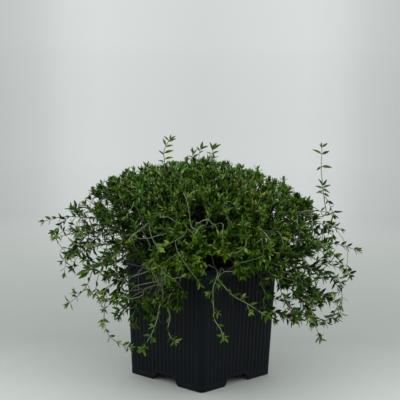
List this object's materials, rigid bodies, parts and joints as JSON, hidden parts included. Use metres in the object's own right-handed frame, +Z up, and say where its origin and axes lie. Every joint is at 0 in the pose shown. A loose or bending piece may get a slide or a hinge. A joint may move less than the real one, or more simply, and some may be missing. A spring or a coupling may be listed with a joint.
{
  "type": "potted thyme",
  "caption": "Creeping thyme in a square black nursery pot, its wiry leafy stems spreading over the rim and trailing down the sides.",
  "frame": {"origin": "middle of the part's box on the floor it stands on, which is the middle of the pot's base to within a millimetre", "axes": "+Z up; X and Y along the pot's sides, so the picture looks at the corner between +X and -Y"},
  "size_m": [0.2628, 0.2756, 0.2419],
  "materials": {
    "pot_plastic": "satin",
    "potting_mix": "matte",
    "leaf": "matte",
    "stem_bark": "matte"
  },
  "bodies": {
    "root": {"pot": "pot_plastic", "potting_mix": "potting_mix", "stem_01": "leaf", "stem_02": "leaf", "stem_03": "leaf", "stem_04": "leaf", "stem_05": "leaf", "stem_06": "leaf", "stem_07": "leaf", "stem_08": "leaf", "stem_09": "leaf", "stem_10": "leaf", "stem_11": "leaf", "stem_12": "leaf", "stem_13": "leaf", "stem_14": "leaf", "stem_15": "leaf", "stem_16": "leaf", "stem_17": "leaf", "stem_18": "leaf", "stem_19": "leaf", "stem_20": "leaf", "stem_21": "leaf", "stem_22": "leaf", "stem_23": "leaf", "stem_24": "leaf", "stem_25": "leaf", "stem_26": "leaf", "stem_27": "leaf", "stem_28": "leaf", "stem_29": "leaf", "stem_30": "leaf", "stem_31": "leaf", "stem_32": "leaf", "stem_33": "leaf", "stem_34": "leaf", "stem_35": "leaf", "stem_36": "leaf", "stem_37": "leaf", "stem_38": "leaf", "stem_39": "leaf", "stem_40": "leaf", "stem_41": "leaf", "stem_42": "leaf", "stem_43": "leaf"}
  },
  "joints": []
}
